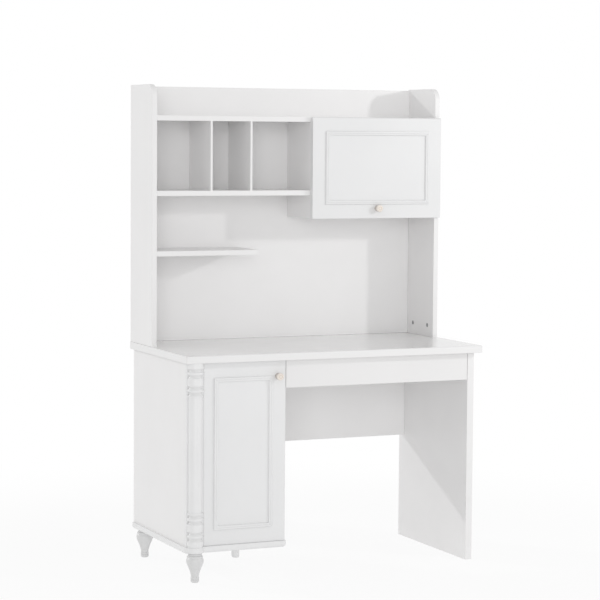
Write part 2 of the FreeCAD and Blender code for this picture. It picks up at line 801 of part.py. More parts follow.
def make_all_hinges():
    upright = [Placement(door_axis + Z * height, Rotation())
               for height in (door_bottom + hinge_inset, door_top - hinge_inset)]
    make_hinges("door", "door_panel", "pedestal_front_stile", upright)
    lying = [Placement(flap_axis + X * across, Rotation(Y, 90))
             for across in (cabinet_left + hinge_inset, flap_right - hinge_inset)]
    make_hinges("flap", "flap_panel", "top_shelf", lying)


# Joinery
def join_desk():
    depths = (carcass_front + dowel_front_inset, carcass_rear - dowel_rear_inset)
    uprights = (
        ("pedestal_left_side", side_left + half_board),
        ("pedestal_partition", partition_inner + half_board),
        ("leg_panel", leg_inner + leg_board / 2),
    )
    for depth in depths:
        for name, across in uprights:
            dowel("desk_dowels", name, "worktop", Vector(across, depth, worktop_under), Z)
        for name, across in uprights[:2]:
            dowel("desk_dowels", name, "base_plate", Vector(across, depth, base_top), Z)
    for depth in (carcass_front + bottom_dowel_front_inset, carcass_rear - bottom_dowel_rear_inset):
        middle = Vector(0, depth, base_top + half_board)
        dowel("desk_dowels", "pedestal_bottom", "pedestal_left_side", middle + X * side_inner, X)
        dowel("desk_dowels", "pedestal_bottom", "pedestal_partition", middle + X * partition_inner, X)
    for height in (bottom_top + stile_dowel_inset, worktop_under - stile_dowel_inset):
        point = Vector(side_inner, carcass_front + half_board, height)
        dowel("desk_dowels", "pedestal_front_stile", "pedestal_left_side", point, X)
    rail = Vector(0, carcass_front + half_board, worktop_under - top_rail_height / 2)
    dowel("desk_dowels", "pedestal_top_rail", "pedestal_front_stile", rail + X * stile_right, X)
    dowel("desk_dowels", "pedestal_top_rail", "pedestal_partition", rail + X * partition_inner, X)
    modesty_under = worktop_under - modesty_height
    for height in (worktop_under - modesty_dowel_inset, modesty_under + modesty_dowel_inset):
        middle = Vector(0, modesty_rear - half_board, height)
        dowel("desk_dowels", "modesty_panel", "pedestal_partition", middle + X * partition_right, X)
        dowel("desk_dowels", "modesty_panel", "leg_panel", middle + X * leg_inner, X)
    dowel("desk_dowels", "corner_post", "worktop", Vector(post_x, post_y, worktop_under), Z)
    dowel("desk_dowels", "corner_post", "base_plate", Vector(post_x, post_y, base_top), Z)
    inner_faces = (
        ("pedestal_left_side", side_inner, X),
        ("pedestal_partition", partition_inner, X * -1),
        ("leg_panel", leg_inner, X * -1),
    )
    for depth in (carcass_front + bracket_front_inset, carcass_rear - bracket_rear_inset):
        for name, face, inward in inner_faces:
            angle_bracket(Vector(face, depth, worktop_under), inward, Z * -1, "worktop", name)
    apron_back = front_plane + board
    height = worktop_under - apron_bracket_drop
    apron_ends = (("pedestal_partition", partition_right, X), ("leg_panel", leg_inner, X * -1))
    for name, face, inward in apron_ends:
        angle_bracket(Vector(face, apron_back, height), inward, Y, "apron_rail", name)


def join_hutch():
    for depth in (hutch_front + hutch_dowel_inset, hutch_back_front - hutch_dowel_inset):
        shelf_ends = (
            ("top_shelf", "hutch_left_side", hutch_left_inner, top_shelf_top),
            ("top_shelf", "hutch_right_side", hutch_right_inner, top_shelf_top),
            ("middle_shelf", "hutch_left_side", hutch_left_inner, middle_shelf_top),
            ("middle_shelf", "cabinet_partition", cabinet_left, middle_shelf_top),
            ("low_shelf", "hutch_left_side", hutch_left_inner, low_shelf_top),
            ("cabinet_bottom", "cabinet_partition", cabinet_left + board, cabinet_under + board),
            ("cabinet_bottom", "hutch_right_side", hutch_right_inner, cabinet_under + board),
        )
        for first, second, across, top in shelf_ends:
            dowel("hutch_dowels", first, second, Vector(across, depth, top - half_board), X)
        point = Vector(cabinet_left + half_board, depth, top_shelf_under)
        dowel("hutch_dowels", "cabinet_partition", "top_shelf", point, Z)
    backed = (
        ("top_shelf", hutch_left_inner, hutch_right_inner, top_shelf_top),
        ("middle_shelf", hutch_left_inner, cabinet_left, middle_shelf_top),
        ("low_shelf", hutch_left_inner, hutch_left_inner + low_shelf_length, low_shelf_top),
        ("cabinet_bottom", cabinet_left + board, hutch_right_inner, cabinet_under + board),
    )
    for name, start, end, top in backed:
        for across in (start + back_screw_inset, end - back_screw_inset):
            point = Vector(across, hutch_back_rear, top - half_board)
            screw("back_screws", point, Y * -1, ("hutch_back_panel", name), back_screw_length)


def make_cam_fittings():
    """Cam locks that hold the hutch sides down on the worktop."""
    cam_height = worktop_height + cam_height_over_worktop
    bolt_top = cam_height - cam_radius + cam_bolt_in_cam
    for name, face, outward in (("hutch_left_side", hutch_left_inner, X * -1),
                                ("hutch_right_side", hutch_right_inner, X)):
        for depth in (hutch_front + cam_inset, hutch_back_front - cam_inset):
            mouth = Vector(face, depth, cam_height)
            cam = Part.makeCylinder(cam_radius, cam_depth, mouth, outward)
            groups.setdefault("cam_locks", []).append(cam)
            drill((name,), Part.makeCylinder(cam_radius + fit_gap, cam_depth + end_gap, mouth, outward))
            foot = mouth + outward * half_board
            foot.z = worktop_height - cam_bolt_in_worktop
            length = bolt_top - foot.z
            groups.setdefault("cam_bolts", []).append(Part.makeCylinder(cam_bolt_radius, length, foot, Z))
            hole_foot = foot - Z * end_gap
            hole = Part.makeCylinder(cam_bolt_radius + fit_gap, length + 2 * end_gap, hole_foot, Z)
            drill((name, "worktop", "cam_locks"), hole)


def write_parts():
    for name, shapes in groups.items():
        pieces[name] = Part.Compound(shapes)
    for name, shape in pieces.items():
        solids = []
        for solid in shape.Solids:
            for hole in drills.get(name, []):
                if solid.BoundBox.intersect(hole.BoundBox):
                    solid = solid.cut(hole)
            solids += solid.Solids
        whole = solids[0] if len(solids) == 1 else Part.Compound(solids)
        if not whole.isValid() or len(solids) != len(shape.Solids):
            raise ValueError(name + " did not come out as whole solids")
        whole.exportStep("parts/" + name + ".step")


make_worktop()
make_pedestal()
make_base_plate()
make_leg_and_rails()
make_corner_post()
make_feet()
make_hutch()
make_door()
make_flap()
make_all_hinges()
join_desk()
join_hutch()
make_cam_fittings()
write_parts()
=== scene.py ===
"""Looks for a white student desk with a shelf hutch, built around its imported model.

The boards, the turned post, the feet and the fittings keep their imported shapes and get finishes.
The mouldings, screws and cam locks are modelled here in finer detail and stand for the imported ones.
"""
import bpy
import math
from bpy.props import FloatProperty, FloatVectorProperty, PointerProperty
from mathutils import Matrix, Vector


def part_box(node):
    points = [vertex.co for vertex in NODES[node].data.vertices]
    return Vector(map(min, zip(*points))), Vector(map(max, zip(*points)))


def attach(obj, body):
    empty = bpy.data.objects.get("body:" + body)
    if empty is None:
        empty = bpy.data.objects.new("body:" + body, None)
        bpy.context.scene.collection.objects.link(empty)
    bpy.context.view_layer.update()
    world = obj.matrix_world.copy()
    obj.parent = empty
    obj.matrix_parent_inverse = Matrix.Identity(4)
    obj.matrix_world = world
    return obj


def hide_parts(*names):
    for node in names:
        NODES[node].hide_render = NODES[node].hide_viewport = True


bl_info = {
    "name": "Student desk finishes",
    "version": (1, 0, 0),
    "blender": (4, 5, 0),
    "location": "View3D > Sidebar > Desk",
    "description": "Gives a white student desk its finishes, mouldings, screws and studio",
    "category": "Object",
}

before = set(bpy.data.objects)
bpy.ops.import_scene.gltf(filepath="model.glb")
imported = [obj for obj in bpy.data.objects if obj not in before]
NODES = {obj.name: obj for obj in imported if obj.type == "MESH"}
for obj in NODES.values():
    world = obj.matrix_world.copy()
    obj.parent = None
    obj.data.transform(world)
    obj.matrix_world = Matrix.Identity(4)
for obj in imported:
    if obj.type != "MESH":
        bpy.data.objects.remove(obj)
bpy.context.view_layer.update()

# Nodes by finish
BOARDS = (
    "apron_rail", "cabinet_bottom", "cabinet_partition", "hutch_back_panel", "hutch_left_side",
    "hutch_right_side", "left_divider", "leg_panel", "low_shelf", "middle_shelf", "modesty_panel",
    "pedestal_back", "pedestal_bottom", "pedestal_front_stile", "pedestal_left_side",
    "pedestal_partition", "pedestal_shelf", "pedestal_top_rail", "right_divider", "top_shelf",
)
UPRIGHTS = ("hutch_left_side", "hutch_right_side")
LEAVES = ("door", "flap")
TURNED = ("base_plate", "plain_foot")
BULBS = ("front_foot", "rear_foot")
DOWELS = ("desk_dowels", "hutch_dowels")
BUMPERS = ("door_bumpers", "flap_bumpers")
PLATED = (
    "angle_brackets", "cam_bolts", "catch_strike", "door_hinge_arms", "door_hinge_cups",
    "door_hinge_pins", "flap_hinge_arms", "flap_hinge_cups", "flap_hinge_pins", "foot_bolts", "shelf_pegs",
)
SCREWS = (
    ("back_screws", "desk"), ("bracket_screws", "desk"), ("catch_screws", "desk"),
    ("hinge_screws", "desk"), ("door_knob_screw", "door"), ("flap_knob_screw", "flap"),
)
# Painted light and shade: pieces painted a little darker or lighter than the rest, to stand for more or less
# light than they get, as a share of the usual white
PAINTED_LIGHT_SHARES = {
    "apron_rail": 0.968, "flap_moulding": 0.97, "flap_panel": 0.97, "hutch_back_panel": 1.02,
    "modesty_panel": 1.04,
}

# Noise textures: scale per metre, octaves and roughness
NOISES = {
    "beech_fleck": (1300.0, 2.0, 0.5),
    "beech_grain": (420.0, 4.0, 0.6),
    "board_cloud": (5.0, 3.0, 0.5),
    "board_marks": (17.0, 5.0, 0.62),
    "board_pearl": (850.0, 2.0, 0.5),
    "cast_cloud": (120.0, 3.0, 0.5),
    "cast_grain": (900.0, 3.0, 0.5),
    "door_cloud": (6.0, 4.0, 0.5),
    "door_marks": (31.0, 6.0, 0.65),
    "door_peel": (430.0, 2.0, 0.5),
    "knob_cloud": (60.0, 4.0, 0.5),
    "knob_rings": (900.0, 2.0, 0.5),
    "lacquer_cloud": (9.0, 4.0, 0.5),
    "lacquer_fibre": (260.0, 3.0, 0.5),
    "lacquer_marks": (23.0, 5.0, 0.6),
    "lacquer_peel": (430.0, 2.0, 0.5),
    "moulding_cloud": (11.0, 4.0, 0.5),
    "moulding_peel": (520.0, 2.0, 0.5),
    "plastic_cloud": (70.0, 3.0, 0.5),
    "plastic_grain": (1500.0, 3.0, 0.5),
    "plate_cloud": (160.0, 4.0, 0.5),
    "plate_drawn": (220.0, 2.0, 0.5),
    "silicone_cloud": (500.0, 3.0, 0.5),
    "worktop_cloud": (4.0, 3.0, 0.5),
    "worktop_pearl": (420.0, 2.0, 0.5),
    "worktop_scratch": (1.0, 2.0, 0.5),
    "worktop_wipes": (6.0, 6.0, 0.65),
}
NOISE_MEAN = 0.5
# Textures with a grain: how much finer they are along X, Y and Z
GRAINS = {
    "beech_grain": (1.0, 1.0, 0.25),
    "lacquer_fibre": (1.0, 1.0, 0.06),
    "plate_drawn": (1.0, 1.0, 18.0),
    "worktop_scratch": (9.0, 420.0, 60.0),
    "worktop_wipes": (2.0, 11.0, 4.0),
}
# The darker and the lighter end of a clouded colour, as shares of it
SHADES = {
    "beech": (0.82, 1.08),
    "board": (0.988, 1.006),
    "cast": (0.85, 1.1),
    "door": (0.988, 1.006),
    "knob": (0.97, 1.02),
    "lacquer": (0.985, 1.008),
    "moulding": (0.985, 1.006),
    "plastic": (0.97, 1.01),
    "plate": (0.88, 1.05),
    "silicone": (0.94, 1.03),
    "worktop": (0.985, 1.0),
}
FLECK_SHADE = 0.6
# Where something fades in or out: in noise levels, or in metres from a line, a face or an axis
SPANS = {
    "band_joint": (0.00006, 0.00022),
    "board_handling": (0.5, 0.72),
    "cloud": (0.3, 0.7),
    "fleck": (0.62, 0.75),
    "groove_depth": (0.0002, 0.0009),
    "handling_reach": (0.0, 0.022),
    "knob_edge": (0.0, 0.0006),
    "knob_groove": (0.0002, 0.0011),
    "mitre": (0.00008, 0.0003),
    "moulding_shade": (0.0, 0.0016),
    "plate_cloud": (0.35, 0.65),
    "rubbing": (0.58, 0.8),
    "scratch": (0.0, 0.006),
    "touch_marks": (0.42, 0.7),
    "touch_reach": (0.012, 0.06),
    "worktop_face": (-0.0008, -0.0002),
}
# How much each mark colours, dulls or raises the surface
AMOUNTS = {
    "band_joint": 0.35,
    "beech_gloss": 0.2,
    "board_gloss": 0.10,
    "board_handling": 0.05,
    "cast_gloss": 0.2,
    "door_gloss": 0.10,
    "drawn_gloss": 0.1,
    "edge_band": 0.6,
    "edge_gloss": 0.16,
    "fibre_relief": 0.3,
    "fleck": 0.4,
    "joint_gloss": 0.2,
    "knob_gloss": 0.14,
    "knob_groove": 0.6,
    "lacquer_gloss": 0.12,
    "mitre": 0.3,
    "moulding_gloss": 0.08,
    "moulding_relief": 0.5,
    "moulding_shade": 0.16,
    "pearl_relief": 0.5,
    "peel_relief": 0.7,
    "plastic_gloss": 0.15,
    "plate_gloss": 0.2,
    # strength of the painted shade in the post's grooves
    "post_groove": 0.16,
    "rubbing": 0.05,
    "scratch_gloss": 0.05,
    "scratch_relief": 0.1,
    "silicone_gloss": 0.2,
    "touch": 0.08,
    "touch_gloss": 0.08,
    "wipe_gloss": 0.10,
}
# Bump height in metres and strength
BUMPS = {
    "beech": (0.0001, 0.5),
    "board": (0.00003, 0.5),
    "cast": (0.00006, 0.5),
    "door": (0.00004, 0.4),
    "knob": (0.00004, 0.35),
    "lacquer": (0.00005, 0.45),
    "moulding": (0.00005, 0.45),
    "plastic": (0.00006, 0.6),
    "plate": (0.00003, 0.4),
    "silicone": (0.00005, 0.3),
    "worktop": (0.00002, 0.35),
}
ROUGHNESS = {"beech": 0.62, "cast": 0.46, "knob": 0.22, "plastic": 0.5, "plate": 0.30, "silicone": 0.24}
BAND_BLUR = 0.1
COATED_IOR = 1.5
SILICONE_IOR = 1.41
SILICONE_CLEARNESS = 0.55
KNOB_COAT = 0.3
KNOB_COAT_ROUGHNESS = 0.08
# Cover of the knob's body glaze: two noise levels and the cover at each
BODY_COVER = (0.0, 0.4, 0.85, 1.0)

# Moulding profile: steps across in shares of the width, and up in shares of the height
MOULDING_WALL = 0.72
MOULDING_SHOULDER = ((0.03, 0.14), (0.05, 0.10), (0.07, 0.04), (0.23, 0.0))
MOULDING_GROOVE = ((0.05, -0.14), (0.07, -0.10), (0.07, 0.10), (0.05, 0.14))
# Screws: shares of the shank's length, the shank's radius and the head's height
SCREW_SIDES = 40
SCREW_SHANK = 0.85
SCREW_POINT = 0.15
SCREW_TIP = 0.35
SCREW_DOME = 0.62
DOME_STEPS = 6
# Cross recess of a screw: span and width by the head's radius, depth and top by its height
SCREW_CROSS = (1.15, 0.27, 0.75, 1.02)
# Cam locks: shares of the radius
CAM_SIDES = 64
CAM_BEVEL = 0.07
CAM_BEVEL_STEPS = 2
CAM_RIM = 0.16
CAM_STEP = 0.06
CAM_SINK = 0.07
CAM_CROSS = (1.05, 0.24, 0.55)
# Share of a cross recess that is left at its bottom, along its span and across it
CROSS_TAPER = (0.45, 0.7, 1.0)

SMOOTH_ANGLE = math.radians(35)
STRIP_SMOOTH_ANGLE = math.radians(40)
SAME_PLACE = 1e-6
SAME_DIGITS = 6
END_REACH = 0.0001
HEAD_SHARE = 0.98
FLAT = 0.99

SENSOR_WIDTH = 36.0
VIEW_END = 60.0
SUN_DISTANCE = 3.0
WHITE = (1.0, 1.0, 1.0, 1.0)


# Shader sums
class Wire:
    """A shader socket. A sum with it adds Math nodes to its finish."""

    def __init__(self, finish, socket):
        self.finish = finish
        self.socket = socket

    def math(self, operation, *values):
        return self.finish.node("ShaderNodeMath", {"operation": operation}, dict(enumerate(values)))

    def __add__(self, other):
        return self.math("ADD", self, other)

    def __radd__(self, other):
        return self.math("ADD", other, self)

    def __sub__(self, other):
        return self.math("SUBTRACT", self, other)

    def __rsub__(self, other):
        return self.math("SUBTRACT", other, self)

    def __mul__(self, other):
        return self.math("MULTIPLY", self, other)

    def __abs__(self):
        return self.math("ABSOLUTE", self)

    def least(self, other):
        return self.math("MINIMUM", self, other)

    def most(self, other):
        return self.math("MAXIMUM", self, other)

    def root(self):
        return self.math("SQRT", self)

    def ramp(self, low, high, at_low=0.0, at_high=1.0):
        """Goes smoothly from one value to the other as the socket goes from low to high."""
        sockets = {"Value": self, "From Min": low, "From Max": high, "To Min": at_low, "To Max": at_high}
        return self.finish.node("ShaderNodeMapRange", {"interpolation_type": "SMOOTHSTEP"}, sockets)

    def rise(self, span):
        """0 below a named span and 1 above it."""
        return self.ramp(*SPANS[span])

    def fade(self, span):
        """1 below a named span and 0 above it."""
        return self.ramp(*SPANS[span], 1.0, 0.0)

    def by(self, amount):
        """The socket times a named amount."""
        return self * AMOUNTS[amount]

    def swing(self, amount):
        """How far a noise is from its mean, times a named amount."""
        return (self - NOISE_MEAN).by(amount)


class Finish:
    """The node tree of a material or a world under construction, with one method that adds any node."""

    def __init__(self, owner):
        owner.use_nodes = True
        self.owner = owner
        self.tree = owner.node_tree
        self.tree.nodes.clear()

    def node(self, kind, settings=None, sockets=None, output=0):
        made = self.tree.nodes.new(kind)
        for name, value in (settings or {}).items():
            setattr(made, name, value)
        for name, value in (sockets or {}).items():
            if isinstance(value, Wire):
                self.tree.links.new(value.socket, made.inputs[name])
            else:
                made.inputs[name].default_value = value
        return Wire(self, made.outputs[output])

    def place(self):
        """Object coordinates, which are metres in the desk's own frame."""
        return self.node("ShaderNodeTexCoord", output="Object")

    def vector(self, operation, *values):
        return self.node("ShaderNodeVectorMath", {"operation": operation}, dict(enumerate(values)))

    def noise(self, name, place):
        """A named noise texture, stretched if it has a grain."""
        scale, detail, roughness = NOISES[name]
        if name in GRAINS:
            place = self.vector("MULTIPLY", place, GRAINS[name])
        sockets = {"Vector": place, "Scale": scale, "Detail": detail, "Roughness": roughness}
        return self.node("ShaderNodeTexNoise", None, sockets)

    def axes(self, vector):
        split = self.node("ShaderNodeSeparateXYZ", None, {0: vector})
        outputs = split.socket.node.outputs
        return [Wire(self, outputs[axis]) for axis in range(len(outputs))]

    def mix(self, factor, first, second):
        """A colour between the first and the second."""
        settings = {"data_type": "RGBA", "clamp_factor": True}
        return self.node("ShaderNodeMix", settings, {0: factor, 6: first, 7: second}, 2)

    def clouded(self, cloud, kind, colour, share=1.0, span="cloud"):
        """A colour that drifts between the two shades of its kind."""
        dark, light = SHADES[kind]
        return self.mix(cloud.rise(span), rgba(colour, dark * share), rgba(colour, light * share))

    def tint(self, colour, cover, amount, over):
        """A colour with a named amount of another laid over it."""
        return self.mix(cover.by(amount), colour, rgba(over))

    def bump(self, kind, height):
        distance, strength = BUMPS[kind]
        sockets = {"Height": height, "Distance": distance, "Strength": strength}
        return self.node("ShaderNodeBump", None, sockets)

    def surface(self, **values):
        """Ends the finish in a Principled shader with these sockets."""
        sockets = {name.replace("_", " "): value for name, value in values.items()}
        self.output(self.node("ShaderNodeBsdfPrincipled", None, sockets))
        return self.owner

    def output(self, shader, kind="ShaderNodeOutputMaterial"):
        end = self.tree.nodes.new(kind)
        self.tree.links.new(shader.socket, end.inputs["Surface"])


def new_finish(name):
    return Finish(bpy.data.materials.new(name))


def rgba(colour, shade=1.0):
    return (colour[0] * shade, colour[1] * shade, colour[2] * shade, 1.0)


def wear_finish(piece, material):
    piece.data.materials.clear()
    piece.data.materials.append(material)


def face_distances(finish, place, node):
    """How far a point of a boxy piece lies inside each pair of its faces."""
    low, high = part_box(node)
    spread = finish.vector("ABSOLUTE", finish.vector("SUBTRACT", place, (low + high) / 2))
    inside = finish.vector("SUBTRACT", (high - low) / 2, spread)
    return finish.axes(inside)


def axis_distance(finish, place, node, *plane):
    """Distance from the middle of a turned piece, in the plane of two of the axes."""
    low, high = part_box(node)
    middle = (low + high) / 2
    coordinates = finish.axes(place)
    first, second = [coordinates[axis] - middle[axis] for axis in plane]
    return (first * first + second * second).root()


def board_rim(finish, place, node, corner=0.0):
    """Distance from a board's outline, measured across its broad faces."""
    low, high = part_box(node)
    inside = face_distances(finish, place, node)
    thin = min(range(3), key=lambda axis: high[axis] - low[axis])
    first, second = [inside[axis] for axis in range(3) if axis != thin]
    if corner:
        x, y, z = finish.axes(place)
        front = (corner - (y - low.y)).most(0.0)
        top = (corner - (high.z - z)).most(0.0)
        turn = corner - (front * front + top * top).root()
        return first.least(second).least(turn)
    return first.least(second)


def edge_lines(rim, looks):
    """Where the glued edge band of a board lies, and its hairline joint."""
    width = looks.band_width
    band = rim.ramp(width * (1 - BAND_BLUR), width * (1 + BAND_BLUR), 1.0, 0.0)
    return band, abs(rim - width).fade("band_joint")


# Finishes
def board_finish(node, looks):
    """White foil on board: a fine pearl, an edge band with its hairline joint, and soft handling marks."""
    finish = new_finish("white_board_" + node)
    place = finish.place()
    rim = board_rim(finish, place, node, looks.hutch_corner if node in UPRIGHTS else 0.0)
    band, joint = edge_lines(rim, looks)
    cloud = finish.noise("board_cloud", place)
    pearl = finish.noise("board_pearl", place)
    marks = finish.noise("board_marks", place)
    handled = rim.fade("handling_reach") * marks.rise("board_handling")
    colour = finish.clouded(cloud, "board", looks.board, PAINTED_LIGHT_SHARES.get(node, 1.0))
    colour = finish.tint(colour, band, "edge_band", looks.edge_band)
    colour = finish.tint(colour, handled, "board_handling", looks.handled)
    colour = finish.tint(colour, joint, "band_joint", looks.seam)
    rough = looks.board_roughness + marks.swing("board_gloss") + joint.by("joint_gloss")
    return finish.surface(Base_Color=colour, Roughness=rough, IOR=COATED_IOR,
                          Normal=finish.bump("board", pearl.by("pearl_relief") - joint))


def worktop_finish(looks):
    """The board finish with a polished face, wiping streaks and faint hairline scratches."""
    finish = new_finish("white_worktop")
    place = finish.place()
    band, joint = edge_lines(board_rim(finish, place, "worktop"), looks)
    cloud = finish.noise("worktop_cloud", place)
    pearl = finish.noise("worktop_pearl", place)
    top = (finish.axes(place)[2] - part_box("worktop")[1].z).rise("worktop_face")
    scratch = abs(finish.noise("worktop_scratch", place) - NOISE_MEAN).fade("scratch") * top
    wipes = (finish.noise("worktop_wipes", place) - NOISE_MEAN) * top
    colour = finish.clouded(cloud, "worktop", looks.board)
    colour = finish.tint(colour, band, "edge_band", looks.edge_band)
    colour = finish.tint(colour, joint, "band_joint", looks.seam)
    rough = looks.worktop_roughness + wipes.by("wipe_gloss")
    rough = rough + (1.0 - top).by("edge_gloss") + scratch.by("scratch_gloss")
    height = pearl.by("pearl_relief") - joint - scratch.by("scratch_relief")
    return finish.surface(Base_Color=colour, Roughness=rough, IOR=COATED_IOR,
                          Normal=finish.bump("worktop", height))


def lacquer_finish(name, looks, colour, turned_with=None):
    """Sprayed satin lacquer: orange peel, slow clouding and a little rubbing.

    A post's grooves get painted shade, darker by their distance from the axis it shares with another turned
    piece.
    """
    finish = new_finish(name)
    place = finish.place()
    cloud = finish.noise("lacquer_cloud", place)
    peel = finish.noise("lacquer_peel", place)
    fibre = finish.noise("lacquer_fibre", place)
    marks = finish.noise("lacquer_marks", place)
    tone = finish.clouded(cloud, "lacquer", colour)
    tone = finish.tint(tone, marks.rise("rubbing"), "rubbing", looks.handled)
    if turned_with:
        # Painted shade in the post's grooves, laid on where the radius falls below the shaft's
        reach = axis_distance(finish, place, turned_with, 0, 1)
        groove = reach.ramp(looks.post_groove, looks.post_shaft, 1.0, 0.0)
        tone = finish.tint(tone, groove, "post_groove", looks.seam)
    height = peel.by("peel_relief") + fibre.by("fibre_relief")
    return finish.surface(Base_Color=tone, Roughness=looks.lacquer_roughness + marks.swing("lacquer_gloss"),
                          IOR=COATED_IOR, Normal=finish.bump("lacquer", height))


def door_finish(node, moulding, knob, looks):
    """Lacquered leaf with a shade line beside its moulding and finger marks by the knob."""
    finish = new_finish("white_" + node)
    place = finish.place()
    inside = face_distances(finish, place, moulding)
    rim = inside[0].least(inside[2])
    half_strip = looks.moulding_width / 2
    beside = abs(abs(rim - half_strip) - half_strip).fade("moulding_shade")
    cloud = finish.noise("door_cloud", place)
    peel = finish.noise("door_peel", place)
    marks = finish.noise("door_marks", place)
    touched = axis_distance(finish, place, knob, 0, 2).fade("touch_reach") * marks.rise("touch_marks")
    colour = finish.clouded(cloud, "door", looks.door, PAINTED_LIGHT_SHARES.get(node, 1.0))
    colour = finish.tint(colour, touched, "touch", looks.handled)
    colour = finish.tint(colour, beside, "moulding_shade", looks.seam)
    rough = looks.lacquer_roughness + marks.swing("door_gloss") - touched.by("touch_gloss")
    return finish.surface(Base_Color=colour, Roughness=rough, IOR=COATED_IOR,
                          Normal=finish.bump("door", peel))


def moulding_finish(node, looks):
    """Lacquered strip with a hairline at each mitre."""
    finish = new_finish("white_" + node)
    place = finish.place()
    inside = face_distances(finish, place, node)
    mitre = abs(inside[0] - inside[2]).fade("mitre")
    cloud = finish.noise("moulding_cloud", place)
    peel = finish.noise("moulding_peel", place)
    colour = finish.clouded(cloud, "moulding", looks.door, PAINTED_LIGHT_SHARES.get(node, 1.0))
    colour = finish.tint(colour, mitre, "mitre", looks.seam)
    rough = looks.lacquer_roughness + cloud.swing("moulding_gloss")
    return finish.surface(Base_Color=colour, Roughness=rough, IOR=COATED_IOR,
                          Normal=finish.bump("moulding", peel.by("moulding_relief") - mitre))


def knob_finish(node, looks):
    """Glazed knob: an ivory face with turning rings and a warmer groove, on a warm grey body."""
    finish = new_finish("ivory_" + node)
    place = finish.place()
    reach = axis_distance(finish, place, node, 0, 2)
    depth = finish.axes(place)[1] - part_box(node)[0].y
    rings = finish.noise("knob_rings", finish.node("ShaderNodeCombineXYZ", None, {0: reach}))
    cloud = finish.noise("knob_cloud", place)
    groove = abs(reach - looks.knob_ring).fade("knob_groove") * depth.rise("groove_depth")
    body = (depth - looks.knob_face).rise("knob_edge") * cloud.ramp(*BODY_COVER)
    colour = finish.clouded(cloud, "knob", looks.knob)
    colour = finish.tint(colour, groove, "knob_groove", looks.knob_groove)
    colour = finish.mix(body, colour, rgba(looks.knob_body))
    return finish.surface(Base_Color=colour, Roughness=ROUGHNESS["knob"] + cloud.swing("knob_gloss"),
                          IOR=COATED_IOR, Coat_Weight=KNOB_COAT, Coat_Roughness=KNOB_COAT_ROUGHNESS,
                          Normal=finish.bump("knob", rings))


def plated_finish(looks):
    """Zinc plate: spangle, drawn lines and dull patches."""
    finish = new_finish("zinc_plate")
    place = finish.place()
    cloud = finish.noise("plate_cloud", place)
    drawn = finish.noise("plate_drawn", place)
    colour = finish.clouded(cloud, "plate", looks.steel, span="plate_cloud")
    rough = ROUGHNESS["plate"] + cloud.swing("plate_gloss") + drawn.swing("drawn_gloss")
    return finish.surface(Base_Color=colour, Metallic=1.0, Roughness=rough,
                          Normal=finish.bump("plate", drawn))


def grained_finish(name, kind, colour, **more):
    """A cast or moulded surface: clouded, with a fine grain."""
    finish = new_finish(name)
    place = finish.place()
    grain = finish.noise(kind + "_grain", place)
    cloud = finish.noise(kind + "_cloud", place)
    rough = ROUGHNESS[kind] + cloud.swing(kind + "_gloss")
    return finish.surface(Base_Color=finish.clouded(cloud, kind, colour), Roughness=rough,
                          Normal=finish.bump(kind, grain), **more)


def beech_finish(looks):
    """Bare beech dowel: flecks and fluting dust."""
    finish = new_finish("bare_beech")
    place = finish.place()
    grain = finish.noise("beech_grain", place)
    fleck = finish.noise("beech_fleck", place).rise("fleck")
    colour = finish.clouded(grain, "beech", looks.beech)
    colour = finish.mix(fleck.by("fleck"), colour, rgba(looks.beech, FLECK_SHADE))
    return finish.surface(Base_Color=colour, Roughness=ROUGHNESS["beech"] + grain.swing("beech_gloss"),
                          Normal=finish.bump("beech", grain))


def bumper_finish(looks):
    """Clear silicone stop, clouded a little."""
    finish = new_finish("clear_silicone")
    cloud = finish.noise("silicone_cloud", finish.place())
    return finish.surface(Base_Color=finish.clouded(cloud, "silicone", looks.bumper),
                          Roughness=ROUGHNESS["silicone"] + cloud.swing("silicone_gloss"), IOR=SILICONE_IOR,
                          Transmission_Weight=SILICONE_CLEARNESS, Normal=finish.bump("silicone", cloud))


# Modelling helpers
def fresh(adder, **values):
    """Adds a primitive with nothing else selected and returns it."""
    if bpy.context.object is not None and bpy.context.object.mode != "OBJECT":
        bpy.ops.object.mode_set(mode="OBJECT")
    bpy.ops.object.select_all(action="DESELECT")
    adder(**values)
    return bpy.context.object


def take(piece):
    """Makes a piece the one that is selected and active."""
    bpy.ops.object.select_all(action="DESELECT")
    piece.select_set(True)
    bpy.context.view_layer.objects.active = piece


def pick(test, kind="FACE"):
    """Selects the faces or edges of the mesh in edit mode that pass the test."""
    mesh = bpy.context.object.data
    bpy.ops.mesh.select_mode(type=kind)
    bpy.ops.mesh.select_all(action="DESELECT")
    bpy.ops.object.mode_set(mode="OBJECT")
    items = mesh.polygons if kind == "FACE" else mesh.edges
    for item in items:
        corners = [mesh.vertices[index].co for index in item.vertices]
        item.select = bool(test(item, corners))
    bpy.ops.object.mode_set(mode="EDIT")


def pick_level(axis, level):
    """Selects the edges that lie at a level of an axis."""
    pick(lambda edge, corners: all(abs(c[axis] - level) < SAME_PLACE for c in corners), "EDGE")


def push(offset):
    """Extrudes the selected faces by an offset."""
    bpy.ops.mesh.extrude_region_move(TRANSFORM_OT_translate={"value": offset})


def settle(piece):
    """Puts the place of the piece into its mesh, so that its object sits at the origin."""
    take(piece)
    bpy.ops.object.transform_apply(location=True, rotation=True, scale=True)


def islands(node):
    """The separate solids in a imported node, each as a list of its points."""
    mesh = NODES[node].data
    keys = [tuple(round(value, SAME_DIGITS) for value in vertex.co) for vertex in mesh.vertices]
    parent = {key: key for key in keys}

    def root(key):
        while parent[key] != key:
            parent[key] = parent[parent[key]]
            key = parent[key]
        return key

    for face in mesh.polygons:
        first = root(keys[face.vertices[0]])
        for index in face.vertices[1:]:
            parent[root(keys[index])] = first
    found = {}
    for key in parent:
        found.setdefault(root(key), []).append(Vector(key))
    return [found[key] for key in sorted(found)]


def from_middle(point, middle, axis):
    """Distance of a point from a line along an axis."""
    return math.hypot(*(point[i] - middle[i] for i in range(3) if i != axis))


